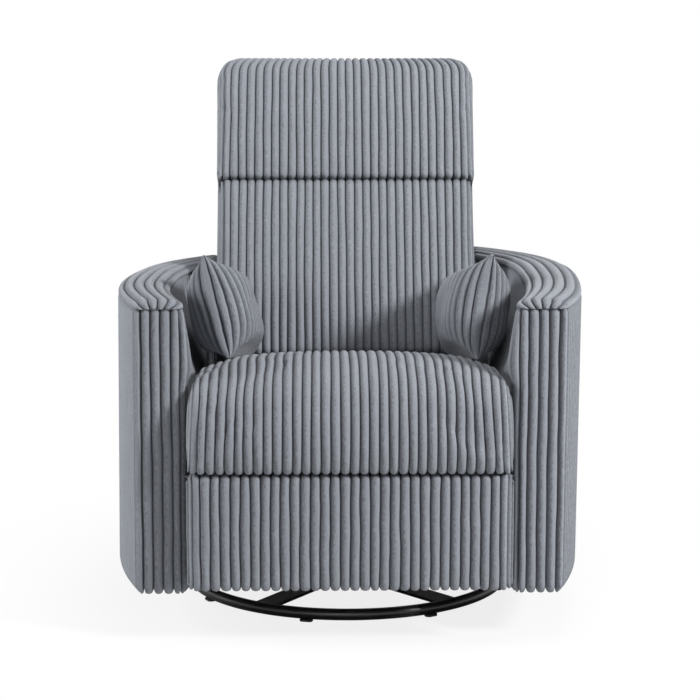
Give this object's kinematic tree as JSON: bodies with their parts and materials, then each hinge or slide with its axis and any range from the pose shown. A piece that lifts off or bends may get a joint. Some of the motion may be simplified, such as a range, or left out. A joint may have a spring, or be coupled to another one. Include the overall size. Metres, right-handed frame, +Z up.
{
  "type": "swivel glider recliner",
  "caption": "Upholstered barrel-arm recliner in wide-ribbed plush that swivels and glides on a ring base, with a fold-out footrest, a reclining back and loose pillows.",
  "frame": {"origin": "on the floor, on the swivel axis, at the centre of the ring", "axes": "+Z up, the sitter faces -Y, +X to the right in a view from the front"},
  "size_m": [0.888, 0.9315, 1.0492],
  "materials": {
    "black_paint": "satin black powder coat",
    "plated_steel": "zinc-plated steel",
    "black_plastic": "moulded nylon",
    "frame_wood": "bare plywood and hardwood",
    "webbing": "woven elastic webbing",
    "grey_plush": "slate grey wide-wale plush"
  },
  "bodies": {
    "base": {"base_ring": "black_paint", "cross_bars": "black_paint", "floor_glides": "black_plastic", "hub_plate": "black_paint", "king_pin": "plated_steel"},
    "swivel": {"thrust_washer": "black_plastic", "swivel_plate": "black_paint", "glider_channels": "black_paint", "glider_bracket_right": "black_paint", "glider_bracket_left": "black_paint", "glide_hanger_pins": "plated_steel"},
    "front_glide": {"front_glide_links": "black_paint"},
    "rear_glide": {"rear_glide_links": "black_paint"},
    "chassis": {"side_plate_right": "black_paint", "side_plate_left": "black_paint", "glide_shoe_pins": "plated_steel", "rear_link_pins": "plated_steel", "seat_rail_right": "frame_wood", "seat_rail_left": "frame_wood", "seat_rail_front": "frame_wood", "seat_rail_rear": "frame_wood", "seat_webbing": "webbing", "recline_pins": "plated_steel", "seat_cushion": "grey_plush", "arm_right": "grey_plush", "arm_left": "grey_plush", "arm_frame_right": "frame_wood", "arm_frame_left": "frame_wood", "rear_apron": "grey_plush", "arm_brackets": "black_paint", "pillow_left": "grey_plush", "pillow_right": "grey_plush"},
    "drive_links": {"drive_link_right": "black_paint", "drive_link_left": "black_paint", "torque_tube": "black_paint"},
    "rear_links": {"rear_link_right": "black_paint", "rear_link_left": "black_paint"},
    "couplers": {"coupler_link_right": "black_paint", "coupler_link_left": "black_paint", "coupler_pins": "plated_steel"},
    "tilt_links": {"tilt_link_right": "black_paint", "tilt_link_left": "black_paint", "tilt_pins": "plated_steel"},
    "footrest": {"footrest_bracket_right": "black_paint", "footrest_bracket_left": "black_paint", "footrest_board": "frame_wood", "footrest_cushion": "grey_plush"},
    "backrest": {"back_stile_right": "frame_wood", "back_stile_left": "frame_wood", "back_cross_rails": "frame_wood", "back_webbing": "webbing", "lumbar_cushion": "grey_plush", "headrest_cushion": "grey_plush", "outer_back": "grey_plush", "recline_brackets": "black_paint"}
  },
  "joints": [
    {"name": "swivel", "type": "hinge", "parent": "base", "child": "swivel", "pos_m": [0, 0, 0.03], "axis": [0, 0, 1], "continuous": true},
    {"name": "glide", "type": "hinge", "parent": "swivel", "child": "front_glide", "pos_m": [0, -0.11, 0.185], "axis": [-1, 0, 0], "range_deg": [-25, 25]},
    {"name": "rear_glide_swing", "type": "hinge", "parent": "swivel", "child": "rear_glide", "pos_m": [0, 0.11, 0.185], "axis": [-1, 0, 0], "range_deg": [-25, 25]},
    {"name": "glide_level", "type": "hinge", "parent": "front_glide", "child": "chassis", "pos_m": [0, -0.11, 0.065], "axis": [-1, 0, 0], "range_deg": [-25, 25]},
    {"name": "footrest_drive", "type": "hinge", "parent": "chassis", "child": "drive_links", "pos_m": [0, -0.319, 0.2795], "axis": [-1, 0, 0], "range_deg": [0, 118.3]},
    {"name": "rear_link_swing", "type": "hinge", "parent": "chassis", "child": "rear_links", "pos_m": [0, -0.2335, 0.2538], "axis": [-1, 0, 0], "range_deg": [0, 118.67]},
    {"name": "coupler_turn", "type": "hinge", "parent": "drive_links", "child": "couplers", "pos_m": [0, -0.1949, 0.1554], "axis": [-1, 0, 0], "range_deg": [-118.1, 0]},
    {"name": "tilt_link_turn", "type": "hinge", "parent": "drive_links", "child": "tilt_links", "pos_m": [0, -0.18826, 0.1192], "axis": [-1, 0, 0], "range_deg": [-117.49, 0]},
    {"name": "footrest_tilt", "type": "hinge", "parent": "couplers", "child": "footrest", "pos_m": [0, -0.37813, 0.26204], "axis": [-1, 0, 0], "range_deg": [0, 87.7]},
    {"name": "recline", "type": "hinge", "parent": "chassis", "child": "backrest", "pos_m": [0, 0.15, 0.33], "axis": [-1, 0, 0], "range_deg": [0, 40]}
  ],
  "couplings": [
    {"joint": "rear_glide_swing", "follows": "glide", "ratio": 1},
    {"joint": "glide_level", "follows": "glide", "ratio": -1},
    {"joint": "rear_link_swing", "follows": "footrest_drive", "ratio": 1.0031},
    {"joint": "coupler_turn", "follows": "footrest_drive", "ratio": -0.99821},
    {"joint": "tilt_link_turn", "follows": "footrest_drive", "ratio": -0.99309},
    {"joint": "footrest_tilt", "follows": "footrest_drive", "ratio": 0.74125}
  ]
}
